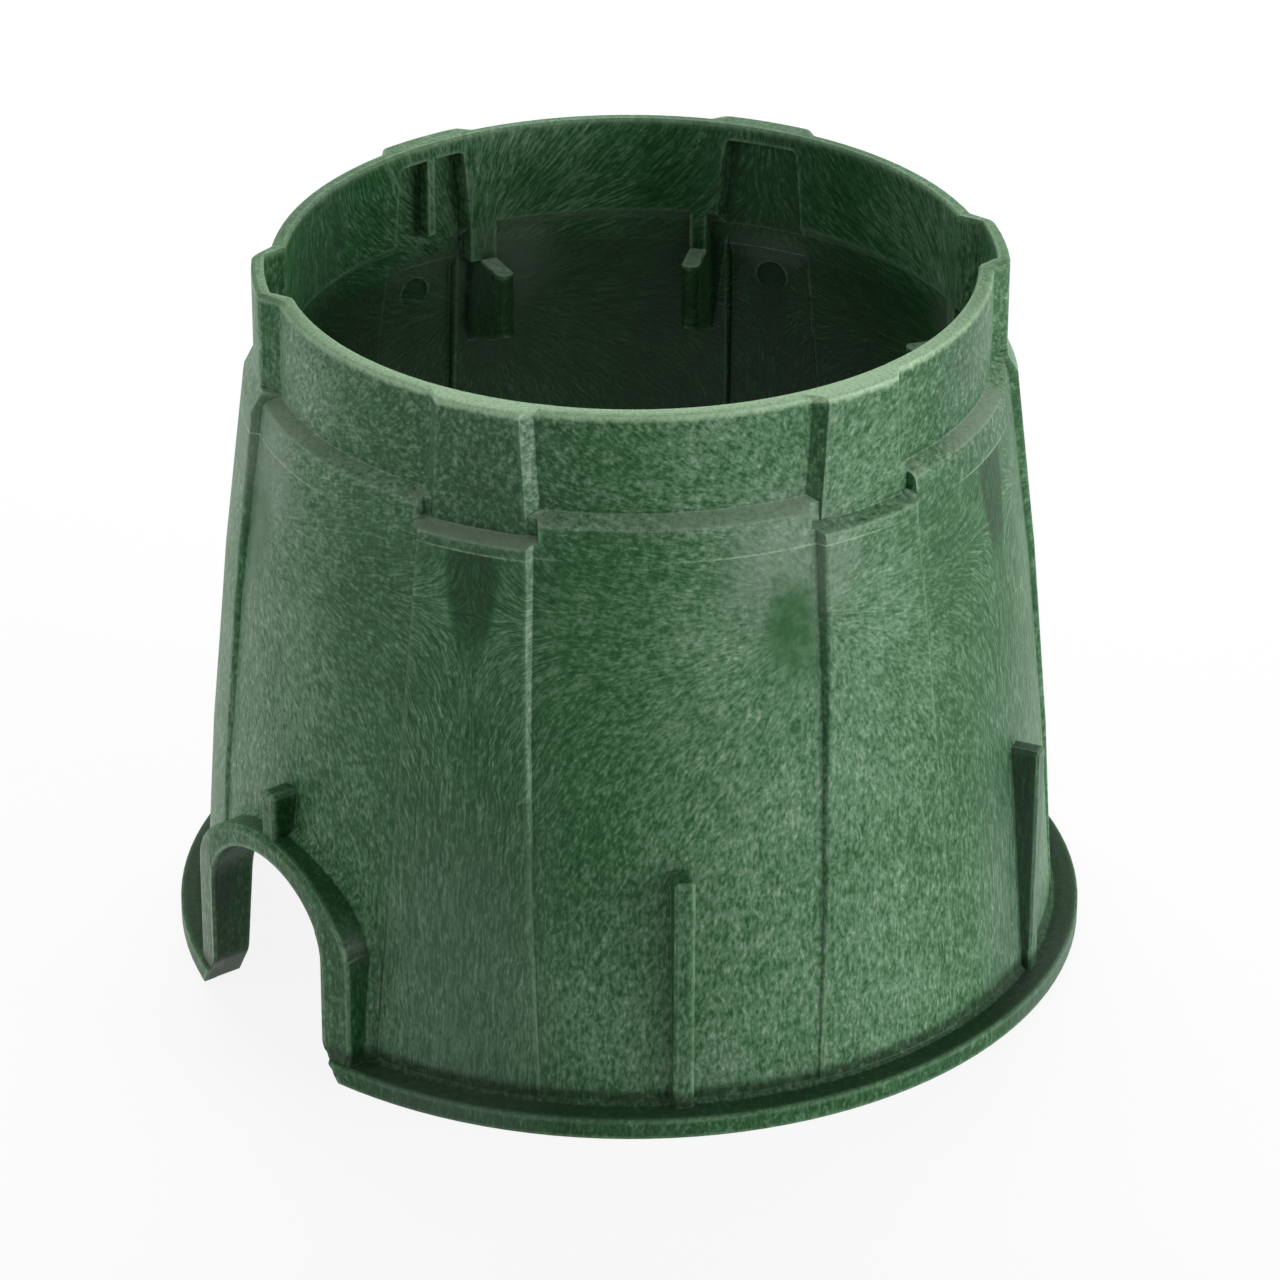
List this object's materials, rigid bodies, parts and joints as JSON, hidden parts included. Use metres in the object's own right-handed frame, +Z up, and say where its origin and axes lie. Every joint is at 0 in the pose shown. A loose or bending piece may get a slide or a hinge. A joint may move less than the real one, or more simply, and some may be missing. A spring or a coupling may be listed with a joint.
{
  "type": "irrigation valve box body",
  "caption": "Round tapered in-ground valve box body, open at top and bottom, with a base flange, ribs, pipe arches, a stepped collar and inner lid tabs.",
  "frame": {"origin": "centre of the base flange, on its underside", "axes": "+Z up along the axis of the box, +X through the middle of one pipe arch"},
  "size_m": [0.3218, 0.3308, 0.26],
  "materials": {
    "green_foam_plastic": "streaky satin moulded green"
  },
  "bodies": {
    "root": {"valve_box_body": "green_foam_plastic"}
  },
  "joints": []
}
